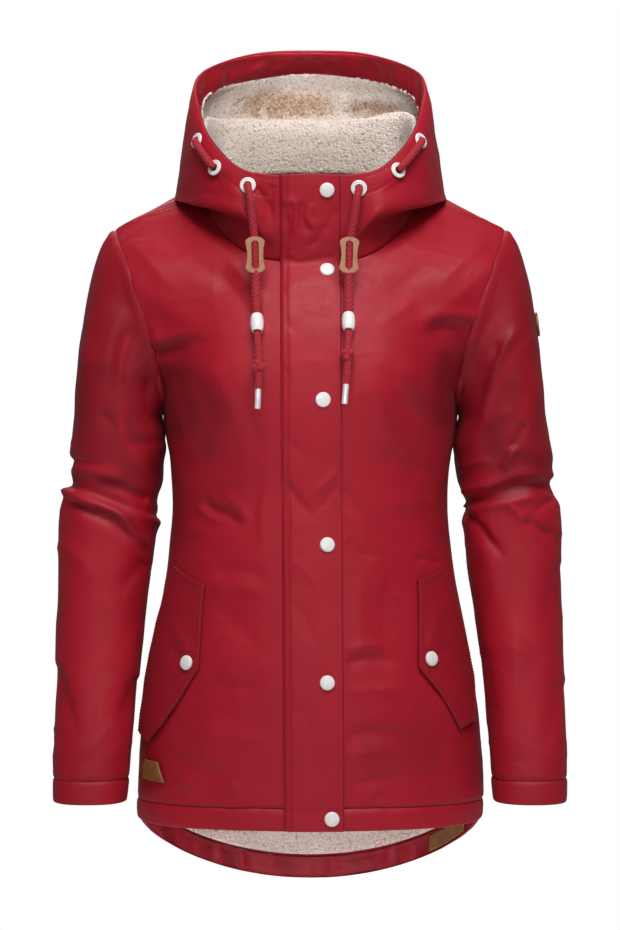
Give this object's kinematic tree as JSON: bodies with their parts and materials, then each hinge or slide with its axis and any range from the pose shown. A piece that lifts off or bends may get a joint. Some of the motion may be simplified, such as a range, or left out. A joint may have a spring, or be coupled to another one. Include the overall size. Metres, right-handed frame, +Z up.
{
  "type": "raincoat",
  "caption": "Woman's hooded raincoat filled out with no wearer: pile-lined hood with drawcords, snap placket, slanted pocket flaps and a dropped back hem.",
  "frame": {"origin": "base of the wearer's neck, midway between the neck ends of the shoulder seams, where the garment is held", "axes": "+Z up, -Y to the wearer's front, +X to the wearer's left"},
  "size_m": [0.5484, 0.3115, 0.9232],
  "materials": {
    "shell": "red polyurethane-coated cloth, satin sheen",
    "pile": "cream sherpa pile",
    "leather": "brown, bare",
    "tan_leather": "tan, cut edges",
    "white_metal": "off-white lacquer",
    "cord": "braided, red",
    "white_plastic": "white"
  },
  "bodies": {
    "root": {"front_left": "shell", "front_right": "shell", "back_left": "shell", "back_right": "shell", "hem_front_left": "shell", "hem_front_right": "shell", "hem_back": "shell", "sleeve_left": "shell", "sleeve_right": "shell", "cuff_left": "shell", "cuff_right": "shell", "hood_left": "shell", "hood_right": "shell", "hood_centre": "shell", "hood_facing": "shell", "placket": "shell", "flap_right": "shell", "flap_left": "shell", "hood_lining": "pile", "back_lining": "pile", "label_hem_front": "leather", "label_hem_back": "leather", "label_sleeve": "leather", "stopper_right": "tan_leather", "stopper_left": "tan_leather", "snap_1": "white_metal", "snap_2": "white_metal", "snap_3": "white_metal", "snap_4": "white_metal", "snap_5": "white_metal", "snap_6": "white_metal", "snap_pocket_right": "white_metal", "snap_pocket_left": "white_metal", "eyelet_right_low": "white_metal", "eyelet_right_mid": "white_metal", "eyelet_right_top": "white_metal", "eyelet_left_low": "white_metal", "eyelet_left_mid": "white_metal", "eyelet_left_top": "white_metal", "cord_right": "cord", "cord_left": "cord", "cord_bridge_right": "cord", "cord_bridge_left": "cord", "knot_right": "cord", "knot_left": "cord", "bead_right": "white_plastic", "bead_left": "white_plastic", "tip_right": "white_plastic", "tip_left": "white_plastic"}
  },
  "joints": []
}
